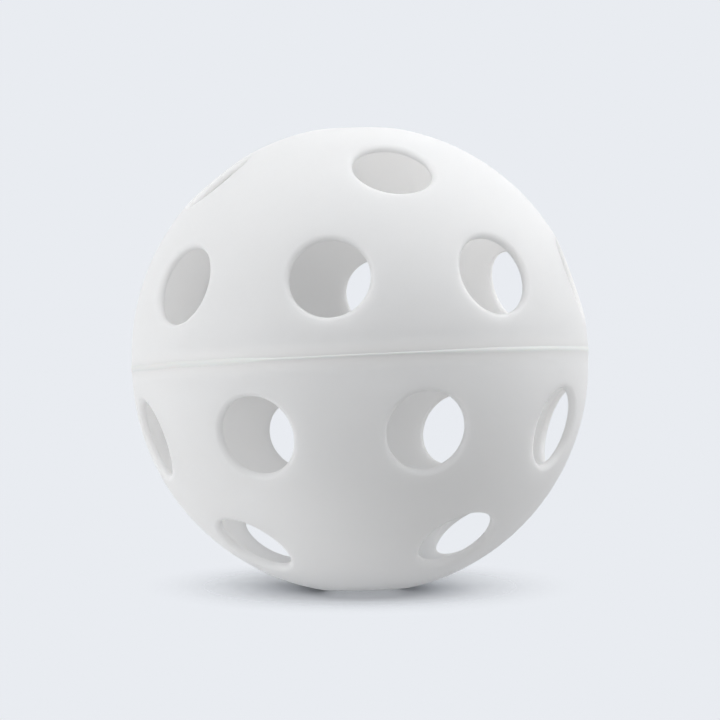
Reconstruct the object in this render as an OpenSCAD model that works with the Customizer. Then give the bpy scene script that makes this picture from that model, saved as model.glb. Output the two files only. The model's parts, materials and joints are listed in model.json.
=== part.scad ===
// Plastic practice softball: a hollow perforated ball of two equal moulded half shells,
// pressed together and welded rim to rim.
// The origin is the ball's centre, in the plane of the weld. +Z runs out through the upper
// pole hole, and -Y is the side that faces a viewer. Lengths in millimetres, angles in degrees.

/* [Half shells] */
// Outside diameter of the ball across its rim
ball_d = 97; // [80:0.5:120]
// Thickness of the moulded wall
wall = 1.8; // [1.6:0.1:3]
// Height of the straight band between the weld plane and the dome of each half
rim_band = 1.2; // [0.8:0.1:3]
// Turn of the lower half about the pole axis, against the upper half
lower_turn = -21; // [-45:0.1:45]

/* [Holes] */
// Bore diameter of every hole
hole_d = 16.6; // [10:0.2:20]
// Radius that rounds the outer edge of every hole
edge_round = 1; // [0.4:0.1:1.4]
// Number of holes in the ring above the rim
rim_holes = 8; // [5:1:9]
// Angle of that ring above the rim, seen from the centre of the dome
rim_ring_angle = 17.8; // [16:0.1:20]
// Number of holes in the ring round the crown
crown_holes = 4; // [3:1:5]
// Angle of that ring above the rim, seen from the centre of the dome
crown_ring_angle = 51.2; // [50:0.2:56]
// Turn of the ring round the crown, against the ring above the rim
crown_turn = 22.5; // [0:0.5:45]

/* [Weld] */
// Thickness of the fused web between the two rims
web = 0.3; // [0.2:0.05:0.6]
// Width of the bead that shows outside
outer_bead_w = 0.8; // [0.5:0.1:1.4]
// Height of that bead above the ball's surface
outer_bead_h = 0.25; // [0.2:0.05:0.4]
// Width of the bead inside the ball
inner_bead_w = 1.4; // [0.8:0.1:1.5]
// Height of that bead above the inner surface
inner_bead_h = 0.5; // [0.2:0.05:0.6]

/* [Hidden] */
$fn = 96;
ball_r = ball_d / 2;
inner_r = ball_r - wall;
hole_r = hole_d / 2;
front_azimuth = -90;

// The rounding circle of a hole's edge pokes out of the dome by this share of its radius, so
// that it meets the dome at a faint crease and the two surfaces cross cleanly.
crease_share = 0.01;
edge_centre_x = hole_r + edge_round;
edge_centre_reach = ball_r - edge_round * (1 - crease_share);
edge_centre_z = sqrt(pow(edge_centre_reach, 2) - pow(edge_centre_x, 2));
mouth_r = edge_centre_x * ball_r / edge_centre_reach;

// Half of a cup's section: a quarter disc on top of a straight band that starts at the bottom.
module cup_profile(radius, bottom) {
    translate([0, rim_band])
        intersection() {
            circle(r = radius);
            square(radius);
        }
    translate([0, bottom])
        square([radius, rim_band - bottom]);
}

// Wall of one half, from the face that meets the web up to the closed pole.
module plain_shell() {
    rotate_extrude()
        difference() {
            cup_profile(ball_r, web / 2);
            cup_profile(inner_r, 0);
        }
}

// What one hole takes out of the dome: a straight bore with a rounded mouth, along +Z.
module hole_cutter() {
    bore_start = inner_r / 2;
    cut_end = ball_r + edge_round;
    rotate_extrude() {
        translate([0, bore_start])
            square([hole_r, cut_end - bore_start]);
        difference() {
            translate([0, edge_centre_z])
                square([mouth_r, cut_end - edge_centre_z]);
            translate([edge_centre_x, edge_centre_z])
                circle(r = edge_round);
        }
    }
}

// Hole cutters spaced evenly round the pole axis, at one angle above the rim.
module hole_ring(count, angle, turn) {
    for (i = [0 : count - 1])
        translate([0, 0, rim_band])
            rotate([0, 90 - angle, front_azimuth + turn + i * 360 / count])
                hole_cutter();
}

// One moulding: the shell with its pole hole and its two rings of holes.
module half_shell() {
    difference() {
        plain_shell();
        hole_ring(1, 90, 0);
        hole_ring(crown_holes, crown_ring_angle, crown_turn);
        hole_ring(rim_holes, rim_ring_angle, 0);
    }
}

// Section of a round bead that stands above the wall's surface by h over a width of w.
module bead_profile(w, h) {
    bead_r = (pow(w / 2, 2) + pow(h, 2)) / (2 * h);
    intersection() {
        translate([h - bead_r, 0])
            circle(r = bead_r);
        translate([0, -w / 2])
            square([h, w]);
    }
}

module upper_half() {
    color("whitesmoke")
        half_shell();
}

module lower_half() {
    color("whitesmoke")
        rotate([0, 0, lower_turn])
            rotate([0, 180, 0])
                half_shell();
}

// The web between the rims, with the beads that were squeezed out of it on both sides.
module weld_seam() {
    color("white")
        rotate_extrude() {
            translate([inner_r, -web / 2])
                square([wall, web]);
            translate([ball_r, 0])
                bead_profile(outer_bead_w, outer_bead_h);
            translate([inner_r, 0])
                mirror([1, 0])
                    bead_profile(inner_bead_w, inner_bead_h);
        }
}

upper_half();
lower_half();
weld_seam();
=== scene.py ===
import json
import math

import bmesh
import bpy
from mathutils import Matrix, Vector, noise


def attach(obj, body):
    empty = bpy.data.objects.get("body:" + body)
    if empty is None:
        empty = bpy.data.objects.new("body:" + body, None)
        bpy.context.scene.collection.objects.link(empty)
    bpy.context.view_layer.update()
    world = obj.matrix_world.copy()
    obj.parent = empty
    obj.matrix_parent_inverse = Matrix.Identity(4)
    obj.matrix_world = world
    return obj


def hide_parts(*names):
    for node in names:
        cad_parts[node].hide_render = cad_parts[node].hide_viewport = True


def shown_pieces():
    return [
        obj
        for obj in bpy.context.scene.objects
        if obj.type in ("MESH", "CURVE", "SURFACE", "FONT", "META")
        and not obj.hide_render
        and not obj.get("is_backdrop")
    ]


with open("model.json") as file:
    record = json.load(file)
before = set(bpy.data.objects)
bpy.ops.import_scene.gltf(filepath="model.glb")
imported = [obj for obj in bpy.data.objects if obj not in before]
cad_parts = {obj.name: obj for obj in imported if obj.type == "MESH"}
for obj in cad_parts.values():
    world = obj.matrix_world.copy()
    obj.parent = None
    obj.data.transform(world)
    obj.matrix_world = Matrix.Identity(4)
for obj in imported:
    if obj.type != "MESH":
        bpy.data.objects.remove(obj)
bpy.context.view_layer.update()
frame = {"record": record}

# Camera
# The ball is seen through a long lens, from a little below its seam and a little to the right of its
# front. The right end of the seam is the higher one, so the camera is turned about its line of sight.
IMAGE_SIDE_PX = 720
SENSOR_W = 36.0
VIEW_DISTANCE = 0.776
VIEW_AZIMUTH = math.radians(7.25)
VIEW_ELEVATION = math.radians(-1.17)
VIEW_ROLL = math.radians(1.67)
FOCAL_LENGTH_PX = 3642
# How far the picture is moved up in the frame.
LIFT_PX = 0.6


def direction(azimuth, elevation):
    """Unit vector at an azimuth to the right of the ball's front and an elevation above its middle."""
    level = math.cos(elevation)
    return Vector((level * math.sin(azimuth), -level * math.cos(azimuth), math.sin(elevation)))


toward_camera = direction(VIEW_AZIMUTH, VIEW_ELEVATION)
camera_data = bpy.data.cameras.new("photo_camera")
camera_data.sensor_width = SENSOR_W
camera_data.lens = SENSOR_W * FOCAL_LENGTH_PX / IMAGE_SIDE_PX
camera_data.shift_y = -LIFT_PX / IMAGE_SIDE_PX
camera = bpy.data.objects.new("photo_camera", camera_data)
look_at_ball = (-toward_camera).to_track_quat("-Z", "Y").to_matrix().to_4x4()
camera.matrix_world = (
    Matrix.Translation(toward_camera * VIEW_DISTANCE)
    @ look_at_ball
    @ Matrix.Rotation(-VIEW_ROLL, 4, "Z")
)
bpy.context.scene.collection.objects.link(camera)
bpy.context.scene.camera = camera

# Half shells
# Each half is an injection-moulded cup of white polyethylene, with a hole at the pole, a ring of holes
# round the crown and a ring above the rim. The lower one is the same moulding, upside down and turned.
# The weld holds them rim to rim, at a joint that is slightly tipped and has pressed the rims outward.
MM = 0.001
BALL_R = 48.5 * MM
WALL = 1.8 * MM
INNER_R = BALL_R - WALL
RIM_BAND = 1.2 * MM
RIM_FACE_Z = 0.15 * MM
HOLE_R = frame["record"]["mounts"][0]["dims"]["r_mm"] * MM
OUTER_EDGE_ROUND = 1.0 * MM
INNER_EDGE_ROUND = 0.5 * MM
EDGE_STEPS = 8
# Each ring has its number of holes, its angle above the rim and its turn about the pole, in degrees.
HOLE_RINGS = ((1, 90.0, 0.0), (4, 51.2, 22.5), (8, 17.8, 0.0))
LOWER_HALF_TURN = math.radians(-21.0)
# The joint lies a little below the middle of the ball and rises towards the right.
JOINT_DROP = 0.15 * MM
JOINT_SLOPE = Vector((0.65, 0.05, 0)) * MM / BALL_R
# The rims are pressed outward by this much at the joint, and no longer so at this height off it.
RIM_SPREAD = 0.13 * MM
SPREAD_HEIGHT = 4.0 * MM
DOME_CENTRE = Vector((0, 0, RIM_BAND))
UP = Vector((0, 0, 1))
SAME_PLACE = 0.02 * MM
POLYETHYLENE_IOR = 1.51


def hole_axes():
    """Directions of the moulding's holes, seen from the centre of its dome."""
    axes = []
    for count, angle, turn in HOLE_RINGS:
        for i in range(count):
            axes.append(direction(math.radians(turn + i * 360 / count), math.radians(angle)))
    return axes


def set_on_ring(vert, axis, radius, height):
    """Moves a vertex onto a circle about an axis through the dome's centre, without turning it."""
    offset = vert.co - DOME_CENTRE
    across = offset - axis * offset.dot(axis)
    vert.co = DOME_CENTRE + axis * height + across.normalized() * radius


def nearest_axis(vert, axes):
    """The axis of the hole that a vertex belongs to."""
    offset = vert.co - DOME_CENTRE
    return max(axes, key=offset.dot)


def dome_surface(dome_r, mouth_r, axes):
    """One side of the wall: an open dome whose hole mouths and rim are clean loops of vertices."""
    mouth_points = 20
    rim_points = 48
    sphere_fineness = 5
    cuts_per_edge = 3
    clear_of_loops = 2.4 * MM
    mouth_height = math.sqrt(dome_r ** 2 - mouth_r ** 2)
    crowding_height = math.cos(math.asin(mouth_r / dome_r) + clear_of_loops / dome_r) * dome_r
    to_dome = Matrix.Translation(DOME_CENTRE)
    bm = bmesh.new()
    bmesh.ops.create_icosphere(bm, subdivisions=sphere_fineness, radius=dome_r, matrix=to_dome)

    def crowds_a_loop(vert):
        offset = vert.co - DOME_CENTRE
        return offset.z < clear_of_loops or any(offset.dot(a) > crowding_height for a in axes)

    bmesh.ops.delete(bm, geom=[v for v in bm.verts if crowds_a_loop(v)], context="VERTS")
    bmesh.ops.delete(bm, geom=bm.edges[:] + bm.faces[:], context="EDGES_FACES")
    bmesh.ops.create_circle(bm, segments=rim_points, radius=dome_r, matrix=to_dome)
    for axis in axes:
        along_axis = axis.to_track_quat("Z", "Y").to_matrix().to_4x4()
        to_mouth = to_dome @ along_axis @ Matrix.Translation((0, 0, mouth_height))
        bmesh.ops.create_circle(bm, segments=mouth_points, radius=mouth_r, matrix=to_mouth)
    bmesh.ops.convex_hull(bm, input=bm.verts[:])

    def closes_a_loop(face):
        offset = face.calc_center_median() - DOME_CENTRE
        return offset.z < SAME_PLACE or any(offset.dot(a) > mouth_height - SAME_PLACE for a in axes)

    bmesh.ops.delete(bm, geom=[f for f in bm.faces if closes_a_loop(f)], context="FACES_ONLY")
    bmesh.ops.delete(bm, geom=[e for e in bm.edges if e.is_wire], context="EDGES")
    bmesh.ops.subdivide_edges(bm, edges=bm.edges[:], cuts=cuts_per_edge, use_grid_fill=True)
    for v in bm.verts:
        at_rim = v.co.z - RIM_BAND < SAME_PLACE
        if not v.is_boundary:
            v.co = DOME_CENTRE + (v.co - DOME_CENTRE).normalized() * dome_r
        elif at_rim:
            set_on_ring(v, UP, dome_r, 0)
        else:
            set_on_ring(v, nearest_axis(v, axes), mouth_r, mouth_height)
    mesh = bpy.data.meshes.new("dome_surface")
    bm.to_mesh(mesh)
    bm.free()
    return mesh


def extrude_through(bm, edges, axes, section):
    """Draws loops of edges through a section's rings, given as radius and height about their axis."""
    for radius, height in section:
        made = bmesh.ops.extrude_edge_only(bm, edges=edges)["geom"]
        for v in made:
            if isinstance(v, bmesh.types.BMVert):
                set_on_ring(v, nearest_axis(v, axes), radius, height)
        edges = [e for e in made if isinstance(e, bmesh.types.BMEdge) and e.is_boundary]


def hole_section():
    """A hole's wall from mouth to mouth: a rounded outer edge, the bore and a rounded inner edge."""
    outer_x = HOLE_R + OUTER_EDGE_ROUND
    outer_z = math.sqrt((BALL_R - OUTER_EDGE_ROUND) ** 2 - outer_x ** 2)
    inner_x = HOLE_R + INNER_EDGE_ROUND
    inner_z = math.sqrt((INNER_R + INNER_EDGE_ROUND) ** 2 - inner_x ** 2)
    outer_start = math.atan2(outer_x, outer_z)
    inner_end = math.atan2(inner_x, inner_z) - math.pi
    bore_angle = -math.pi / 2
    section = []
    for x, z, edge_round, first, last in (
        (outer_x, outer_z, OUTER_EDGE_ROUND, outer_start, bore_angle),
        (inner_x, inner_z, INNER_EDGE_ROUND, bore_angle, inner_end),
    ):
        for i in range(EDGE_STEPS + 1):
            angle = first + (last - first) * i / EDGE_STEPS
            section.append((x + edge_round * math.sin(angle), z + edge_round * math.cos(angle)))
    return section


def joint_height(point):
    """Height of the welded joint where a point lies."""
    return JOINT_SLOPE.dot(point) - JOINT_DROP


def press_outward(vert):
    """Moves a vertex outward as far as the soft rims were pressed out there: most at the joint."""
    off_joint = abs(vert.co.z - joint_height(vert.co))
    share = max(0, 1 - off_joint / SPREAD_HEIGHT)
    outward = Vector((vert.co.x, vert.co.y, 0)).normalized()
    vert.co = vert.co + outward * RIM_SPREAD * share ** 2


def smooth_but_for_corners(bm, corner_degrees):
    """Shades a mesh smooth, apart from the edges at which it turns by a larger angle than this."""
    corner_angle = math.radians(corner_degrees)
    for f in bm.faces:
        f.smooth = True
    for e in bm.edges:
        e.smooth = e.calc_face_angle(0) < corner_angle


def half_shell():
    """The moulding, rim down: two domes joined by the walls of the holes and by the rim."""
    corner_degrees = 50
    axes = hole_axes()
    section = hole_section()
    outer_mouth, inner_mouth = section[0][0], section[-1][0]
    bm = bmesh.new()
    outer_dome = dome_surface(BALL_R, outer_mouth, axes)
    bm.from_mesh(outer_dome)
    open_edges = [e for e in bm.edges if e.is_boundary]
    rim = [e for e in open_edges if all(v.co.z - RIM_BAND < SAME_PLACE for v in e.verts)]
    mouths = [e for e in open_edges if e not in set(rim)]
    extrude_through(bm, mouths, axes, section[1:])
    rim_drop = RIM_FACE_Z - RIM_BAND
    extrude_through(bm, rim, [UP], ((BALL_R, rim_drop), (INNER_R, rim_drop), (INNER_R, 0)))
    inner_dome = dome_surface(INNER_R, inner_mouth, axes)
    bm.from_mesh(inner_dome)
    bmesh.ops.remove_doubles(bm, verts=bm.verts[:], dist=SAME_PLACE)
    bmesh.ops.recalc_face_normals(bm, faces=bm.faces[:])
    smooth_but_for_corners(bm, corner_degrees)
    mesh = bpy.data.meshes.new("half_shell")
    bm.to_mesh(mesh)
    bm.free()
    bpy.data.meshes.remove(outer_dome)
    bpy.data.meshes.remove(inner_dome)
    return mesh


def new_material(name):
    """A new material, with the nodes, the links and the shader of its tree."""
    material = bpy.data.materials.new(name)
    material.use_nodes = True
    nodes, links = material.node_tree.nodes, material.node_tree.links
    return material, nodes, links, nodes["Principled BSDF"]


def moulded_polyethylene():
    """Satin white polyethylene that lets light through, and is cloudier where the weld heated it."""
    light_reach = 13.0 * MM
    reach_by_colour = (1.0, 0.97, 0.94)
    satin_gloss = 0.25
    heated_from, heated_to = 0.6 * MM, 4.0 * MM
    heated_clearness = 0.3
    heated_white = (0.87, 0.87, 0.87, 1)
    dull_white = (0.92, 0.925, 0.93, 1)
    clean_white = (0.95, 0.955, 0.96, 1)
    smoothest, roughest = 0.5, 0.64
    cloud_scale, cloud_detail = 70, 3
    skin_scale, skin_detail = 900, 2
    skin_strength, skin_depth = 0.06, 0.2 * MM
    material, nodes, links, shader = new_material("moulded_polyethylene")
    shader.inputs["Subsurface Radius"].default_value = reach_by_colour
    shader.inputs["Subsurface Scale"].default_value = light_reach
    shader.inputs["IOR"].default_value = POLYETHYLENE_IOR
    shader.inputs["Specular IOR Level"].default_value = satin_gloss
    place = nodes.new("ShaderNodeTexCoord")
    above_slope = nodes.new("ShaderNodeVectorMath")
    above_slope.operation = "DOT_PRODUCT"
    above_slope.inputs[1].default_value = UP - JOINT_SLOPE
    links.new(place.outputs["Object"], above_slope.inputs[0])
    above_joint = nodes.new("ShaderNodeMath")
    above_joint.inputs[1].default_value = JOINT_DROP
    links.new(above_slope.outputs["Value"], above_joint.inputs[0])
    off_weld = nodes.new("ShaderNodeMath")
    off_weld.operation = "ABSOLUTE"
    links.new(above_joint.outputs["Value"], off_weld.inputs[0])
    unheated = nodes.new("ShaderNodeMapRange")
    unheated.interpolation_type = "SMOOTHSTEP"
    unheated.inputs["From Min"].default_value = heated_from
    unheated.inputs["From Max"].default_value = heated_to
    links.new(off_weld.outputs["Value"], unheated.inputs["Value"])
    clearness = nodes.new("ShaderNodeMapRange")
    clearness.inputs["To Min"].default_value = heated_clearness
    clearness.inputs["To Max"].default_value = 1
    links.new(unheated.outputs["Result"], clearness.inputs["Value"])
    links.new(clearness.outputs["Result"], shader.inputs["Subsurface Weight"])
    cloud = nodes.new("ShaderNodeTexNoise")
    cloud.inputs["Scale"].default_value = cloud_scale
    cloud.inputs["Detail"].default_value = cloud_detail
    links.new(place.outputs["Object"], cloud.inputs["Vector"])
    tone = nodes.new("ShaderNodeValToRGB")
    tone.color_ramp.elements[0].color = dull_white
    tone.color_ramp.elements[1].color = clean_white
    links.new(cloud.outputs["Fac"], tone.inputs["Fac"])
    paint = nodes.new("ShaderNodeMix")
    paint.data_type = "RGBA"
    paint.inputs["A"].default_value = heated_white
    links.new(unheated.outputs["Result"], paint.inputs["Factor"])
    links.new(tone.outputs["Color"], paint.inputs["B"])
    links.new(paint.outputs["Result"], shader.inputs["Base Color"])
    gloss = nodes.new("ShaderNodeMapRange")
    gloss.inputs["To Min"].default_value = smoothest
    gloss.inputs["To Max"].default_value = roughest
    links.new(cloud.outputs["Fac"], gloss.inputs["Value"])
    links.new(gloss.outputs["Result"], shader.inputs["Roughness"])
    skin = nodes.new("ShaderNodeTexNoise")
    skin.inputs["Scale"].default_value = skin_scale
    skin.inputs["Detail"].default_value = skin_detail
    links.new(place.outputs["Object"], skin.inputs["Vector"])
    bump = nodes.new("ShaderNodeBump")
    bump.inputs["Strength"].default_value = skin_strength
    bump.inputs["Distance"].default_value = skin_depth
    links.new(skin.outputs["Fac"], bump.inputs["Height"])
    links.new(bump.outputs["Normal"], shader.inputs["Normal"])
    return material


shell_plastic = moulded_polyethylene()
moulding = half_shell()
moulding.materials.append(shell_plastic)
upside_down = Matrix.Rotation(LOWER_HALF_TURN, 4, "Z") @ Matrix.Rotation(math.pi, 4, "Y")
for half_name, place in (("upper_half", Matrix.Identity(4)), ("lower_half", upside_down)):
    half_mesh = moulding.copy()
    half_mesh.transform(place)
    for v in half_mesh.vertices:
        at_rim_face = abs(v.co.z) < RIM_BAND / 2
        if at_rim_face:
            v.co.z += joint_height(v.co)
        press_outward(v)
    half = bpy.data.objects.new(half_name + "_moulding", half_mesh)
    bpy.context.scene.collection.objects.link(half)
    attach(half, "root")
    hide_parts(half_name)
bpy.data.meshes.remove(moulding)

# Weld seam
# The ring of plastic that was melted out of both rims, and set again when the halves were pressed
# together: a thin web between the rims with a round bead inside and a low lip outside. The lip is fine
# in front, broad on the right and at the back, and smeared flat on the left.
LIP_STEPS = 12
# Each lip has its half width, how far it stands out, and the share of its width, from the top, at
# which it stands out most.
FINE_LIP = (0.42 * MM, 0.03 * MM, 0.40)
BROAD_LIP = (0.95 * MM, 0.035 * MM, 0.38)
SMEARED_LIP = (1.15 * MM, 0.04 * MM, 0.50)
# Azimuths in degrees to the right of the ball's front, from where the lip begins to change in this
# way to where it has wholly changed.
SMEARED_FROM_BACK = (-104, -92)
SMEARED_FROM_FRONT = (-13, -25)
BROAD_FROM_FRONT = (14, 46)
BROAD_FROM_LEFT = (-112, -130)
INNER_BEAD_H = 0.5 * MM
INNER_BEAD_HALF_W = 0.7 * MM
INNER_BEAD_STEPS = 8
# How far the edges of the weld are sunk in the wall, so that no gap shows beside it.
SUNK = 0.03 * MM
SEAM_STEPS = 360


def ease(value, start, end):
    """Rises smoothly from 0 at the start to 1 at the end, and stays there."""
    share = min(1, max(0, (value - start) / (end - start)))
    return share * share * (3 - 2 * share)


def smeared_share(azimuth):
    """How far the lip is smeared flat at an azimuth."""
    return ease(azimuth, *SMEARED_FROM_BACK) * ease(azimuth, *SMEARED_FROM_FRONT)


def broad_share(azimuth):
    """How far the lip is broad at an azimuth."""
    return max(ease(azimuth, *BROAD_FROM_FRONT), ease(azimuth, *BROAD_FROM_LEFT))


def lip_at(azimuth):
    """The lip's three values at an azimuth."""
    smeared, broad = smeared_share(azimuth), broad_share(azimuth)
    fine = 1 - smeared - broad
    return [fine * f + broad * b + smeared * s for f, b, s in zip(FINE_LIP, BROAD_LIP, SMEARED_LIP)]


def lip_point(share, lip):
    """Radius of a point of the lip, and its height off the lip's middle, at a share of the way down."""
    half_width, stands_out, crest = lip
    slope_share = share / crest if share < crest else (1 - share) / (1 - crest)
    rise = math.sin(math.pi / 2 * slope_share) ** 2
    return BALL_R - SUNK + (stands_out + SUNK) * rise, half_width * (1 - 2 * share)


def inner_bead_section():
    """The inner bead from its lower edge to its upper one."""
    points = []
    for i in range(INNER_BEAD_STEPS + 1):
        turn = math.pi * i / INNER_BEAD_STEPS
        x = INNER_R + SUNK - (INNER_BEAD_H + SUNK) * math.sin(turn)
        points.append((x, -INNER_BEAD_HALF_W * math.cos(turn)))
    return points


def spin_ring(bm, outline):
    """Spins a closed outline, given as radius and height, all the way round the pole axis."""
    verts = [bm.verts.new((0, -x, z)) for x, z in outline]
    edges = [bm.edges.new(ends) for ends in zip(verts, verts[1:] + verts[:1])]
    turn = 2 * math.pi
    bmesh.ops.spin(
        bm, geom=verts + edges, axis=UP, cent=(0, 0, 0), angle=turn, steps=SEAM_STEPS, use_merge=True
    )


def weld_seam():
    """The lip, with the uneven height and run that a weld has, and the web with its inner bead."""
    coarse_grain, fine_grain = 5, 20
    fine_start = Vector((3, 0, 0))
    coarse_swell, fine_swell = 0.16, 0.10
    coarse_drift, fine_drift = 0.06 * MM, 0.03 * MM
    corner_degrees = 60
    bm = bmesh.new()
    spin_ring(bm, [lip_point(i / LIP_STEPS, BROAD_LIP) for i in range(LIP_STEPS + 1)])
    # This layer marks where the lip is smeared. There the weld's colour is painted darker, as painted
    # shade.
    smeared = bm.verts.layers.float.new("smeared")
    for v in bm.verts:
        around = Vector((v.co.x, v.co.y, 0)).normalized()
        azimuth = math.degrees(math.atan2(around.x, -around.y))
        v[smeared] = smeared_share(azimuth)
        coarse = noise.noise(around * coarse_grain)
        fine = noise.noise(around * fine_grain + fine_start)
        share = (1 - v.co.z / BROAD_LIP[0]) / 2
        radius, off_middle = lip_point(share, lip_at(azimuth))
        uneven = max(0, radius - BALL_R) * (coarse_swell * coarse + fine_swell * fine)
        v.co = around * (radius + uneven)
        v.co.z = off_middle + coarse_drift * coarse + fine_drift * fine
    web_lower = [(BALL_R - SUNK, -RIM_FACE_Z), (INNER_R + SUNK, -RIM_FACE_Z)]
    web_upper = [(INNER_R + SUNK, RIM_FACE_Z), (BALL_R - SUNK, RIM_FACE_Z)]
    spin_ring(bm, web_lower + inner_bead_section() + web_upper)
    for v in bm.verts:
        v.co.z += joint_height(v.co)
        press_outward(v)
    bmesh.ops.recalc_face_normals(bm, faces=bm.faces[:])
    smooth_but_for_corners(bm, corner_degrees)
    mesh = bpy.data.meshes.new("weld_seam")
    bm.to_mesh(mesh)
    bm.free()
    return mesh


def weld_plastic():
    """The same polyethylene, melted and set again: cloudier than the wall, and painted darker grey
    where smeared, as shade of a shallow step.
    """
    clearness = 0.1
    light_reach = 0.5 * MM
    dull_white = (0.815, 0.81, 0.80, 1)
    clean_white = (0.865, 0.86, 0.85, 1)
    # Where the lip is smeared, the weld is painted this darker grey: painted shade of a shallow step
    # along the joint.
    smeared_step_shade = (0.755, 0.75, 0.74, 1)
    smoothest, roughest = 0.4, 0.6
    cloud_scale, cloud_detail = 400, 2
    material, nodes, links, shader = new_material("weld_plastic")
    shader.inputs["Subsurface Weight"].default_value = clearness
    shader.inputs["Subsurface Scale"].default_value = light_reach
    shader.inputs["IOR"].default_value = POLYETHYLENE_IOR
    place = nodes.new("ShaderNodeTexCoord")
    cloud = nodes.new("ShaderNodeTexNoise")
    cloud.inputs["Scale"].default_value = cloud_scale
    cloud.inputs["Detail"].default_value = cloud_detail
    links.new(place.outputs["Object"], cloud.inputs["Vector"])
    tone = nodes.new("ShaderNodeValToRGB")
    tone.color_ramp.elements[0].color = dull_white
    tone.color_ramp.elements[1].color = clean_white
    links.new(cloud.outputs["Fac"], tone.inputs["Fac"])
    smeared = nodes.new("ShaderNodeAttribute")
    smeared.attribute_name = "smeared"
    paint = nodes.new("ShaderNodeMix")
    paint.data_type = "RGBA"
    paint.inputs["B"].default_value = smeared_step_shade
    links.new(smeared.outputs["Fac"], paint.inputs["Factor"])
    links.new(tone.outputs["Color"], paint.inputs["A"])
    links.new(paint.outputs["Result"], shader.inputs["Base Color"])
    gloss = nodes.new("ShaderNodeMapRange")
    gloss.inputs["To Min"].default_value = smoothest
    gloss.inputs["To Max"].default_value = roughest
    links.new(cloud.outputs["Fac"], gloss.inputs["Value"])
    links.new(gloss.outputs["Result"], shader.inputs["Roughness"])
    return material


seam_mesh = weld_seam()
seam_mesh.materials.append(weld_plastic())
seam = bpy.data.objects.new("weld_seam_ring", seam_mesh)
bpy.context.scene.collection.objects.link(seam)
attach(seam, "root")
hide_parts("weld_seam")

# Floor and light
# The ball lies on a pale grey matt floor that fades into the backdrop round it, so that soft light also
# reaches it from below. Darker than the backdrop, its grey paints a soft shade round the ball, on top
# of the real shadow that the floor catches. It doesn't rest on its pole, so the floor is level in the
# picture and not square to the ball's own axis.
BACKDROP = (0.8148, 0.8388, 0.8796, 1)
# The floor's grey is darker than the backdrop. Faded out round the ball, it is painted shade besides
# the ball's real shadow.
FLOOR_PAINT_AND_SHADE = (0.66, 0.68, 0.71, 1)
# The angle at which the camera looks down on the floor.
FLOOR_SEEN_FROM = math.radians(3.7)
FLOOR_R = 1.2
FLOOR_SIDES = 96
# How far the middle of the floor, and of its painted shade, lies behind the ball's centre, so that the
# shade reaches further behind the ball than in front.
FLOOR_SHADE_BACK = 7.5 * MM
# The floor fades between these distances from its middle, until this share of it is clear.
FADE_START = 0.2 * BALL_R
FADE_END = 1.0 * BALL_R
MOST_FADED = 0.998
BOX_SIDE = 0.6
BOX_DISTANCE = 0.8
FILL_STRENGTH = 0.41
# Each lamp has its azimuth to the right of the camera and its elevation, in degrees, and its watts.
SOFT_BOXES = (
    ("left_box", -60, 5, 2.4),
    ("top_left_box", -60, 60, 2.1),
    ("top_right_box", 60, 60, 1.9),
    ("right_box", 90, 30, 3.3),
    ("low_left_box", -90, -45, 1.4),
)

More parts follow.
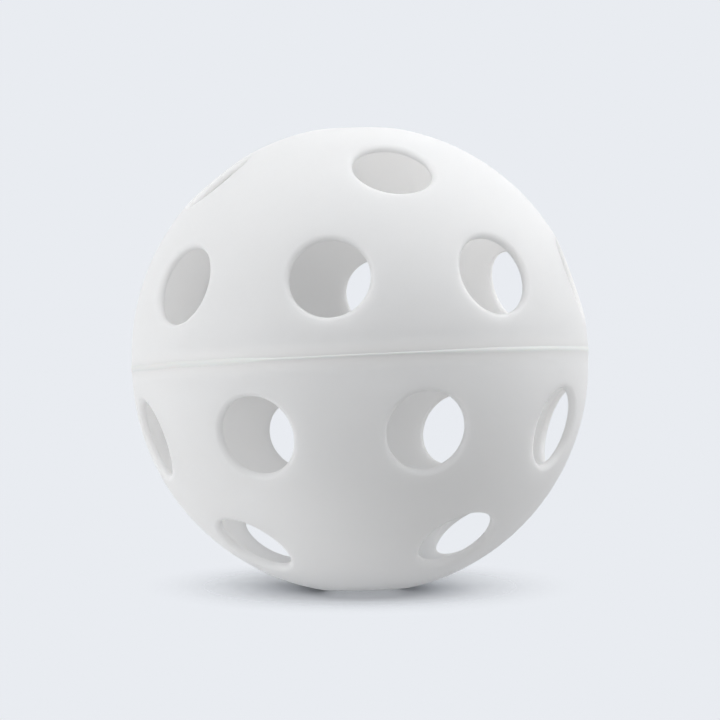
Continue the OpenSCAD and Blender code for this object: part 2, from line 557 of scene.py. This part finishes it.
camera_up = camera.matrix_world.col[1].to_3d()
floor_up = camera_up * math.cos(FLOOR_SEEN_FROM) + toward_camera * math.sin(FLOOR_SEEN_FROM)
floor_back = camera_up * math.sin(FLOOR_SEEN_FROM) - toward_camera * math.cos(FLOOR_SEEN_FROM)
lowest = min(v.co.dot(floor_up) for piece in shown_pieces() for v in piece.data.vertices)
floor_middle = floor_up * lowest + floor_back * FLOOR_SHADE_BACK
to_floor = Matrix.Translation(floor_middle) @ floor_up.to_track_quat("Z", "Y").to_matrix().to_4x4()
bm = bmesh.new()
bmesh.ops.create_circle(bm, cap_ends=True, segments=FLOOR_SIDES, radius=FLOOR_R)
floor_mesh = bpy.data.meshes.new("floor")
bm.to_mesh(floor_mesh)
bm.free()
floor = bpy.data.objects.new("floor", floor_mesh)
floor.matrix_world = to_floor
bpy.context.scene.collection.objects.link(floor)
floor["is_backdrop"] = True


def floor_paint_and_shade():
    """Matt pale grey paint that gives way to the backdrop away from the ball, painting a soft shade
    round it besides its real shadow, and isn't seen from below.
    """
    material, nodes, links, shader = new_material("floor_paint_and_shade")
    shader.inputs["Base Color"].default_value = FLOOR_PAINT_AND_SHADE
    shader.inputs["Roughness"].default_value = 1
    shader.inputs["Specular IOR Level"].default_value = 0
    place = nodes.new("ShaderNodeTexCoord")
    distance = nodes.new("ShaderNodeVectorMath")
    distance.operation = "LENGTH"
    links.new(place.outputs["Object"], distance.inputs[0])
    fade = nodes.new("ShaderNodeMapRange")
    fade.interpolation_type = "SMOOTHSTEP"
    fade.inputs["From Min"].default_value = FADE_START
    fade.inputs["From Max"].default_value = FADE_END
    fade.inputs["To Max"].default_value = MOST_FADED
    links.new(distance.outputs["Value"], fade.inputs["Value"])
    surface = nodes.new("ShaderNodeNewGeometry")
    clear_share = nodes.new("ShaderNodeMath")
    clear_share.operation = "MAXIMUM"
    links.new(fade.outputs["Result"], clear_share.inputs[0])
    links.new(surface.outputs["Backfacing"], clear_share.inputs[1])
    clear = nodes.new("ShaderNodeBsdfTransparent")
    blend = nodes.new("ShaderNodeMixShader")
    links.new(clear_share.outputs["Value"], blend.inputs["Fac"])
    links.new(shader.outputs["BSDF"], blend.inputs[1])
    links.new(clear.outputs["BSDF"], blend.inputs[2])
    links.new(blend.outputs["Shader"], nodes["Material Output"].inputs["Surface"])
    return material


def soft_box(name, azimuth, elevation, watts):
    """A square area lamp that faces the ball."""
    toward_lamp = direction(math.radians(azimuth) + VIEW_AZIMUTH, math.radians(elevation))
    data = bpy.data.lights.new(name, "AREA")
    data.size = BOX_SIDE
    data.energy = watts
    lamp = bpy.data.objects.new(name, data)
    lamp.location = toward_lamp * BOX_DISTANCE
    lamp.rotation_euler = toward_lamp.to_track_quat("Z", "Y").to_euler()
    bpy.context.scene.collection.objects.link(lamp)


floor_mesh.materials.append(floor_paint_and_shade())
for name, azimuth, elevation, watts in SOFT_BOXES:
    soft_box(name, azimuth, elevation, watts)

# The world lights the ball with a plain white fill. The camera, and rays that are reflected or go
# through something clear, see the backdrop's colour instead.
world = bpy.data.worlds.new("studio")
world.use_nodes = True
bpy.context.scene.world = world
nodes, links = world.node_tree.nodes, world.node_tree.links
fill = nodes["Background"]
fill.inputs["Color"].default_value = (1, 1, 1, 1)
fill.inputs["Strength"].default_value = FILL_STRENGTH
backdrop = nodes.new("ShaderNodeBackground")
backdrop.inputs["Color"].default_value = BACKDROP
backdrop.inputs["Strength"].default_value = 1
ray = nodes.new("ShaderNodeLightPath")
seen = nodes.new("ShaderNodeMath")
seen.operation = "MAXIMUM"
links.new(ray.outputs["Is Camera Ray"], seen.inputs[0])
links.new(ray.outputs["Is Glossy Ray"], seen.inputs[1])
seen_or_through = nodes.new("ShaderNodeMath")
seen_or_through.operation = "MAXIMUM"
links.new(seen.outputs["Value"], seen_or_through.inputs[0])
links.new(ray.outputs["Is Transmission Ray"], seen_or_through.inputs[1])
switch = nodes.new("ShaderNodeMixShader")
links.new(seen_or_through.outputs["Value"], switch.inputs["Fac"])
links.new(fill.outputs["Background"], switch.inputs[1])
links.new(backdrop.outputs["Background"], switch.inputs[2])
links.new(switch.outputs["Shader"], nodes["World Output"].inputs["Surface"])
bpy.context.scene.view_settings.view_transform = "Standard"
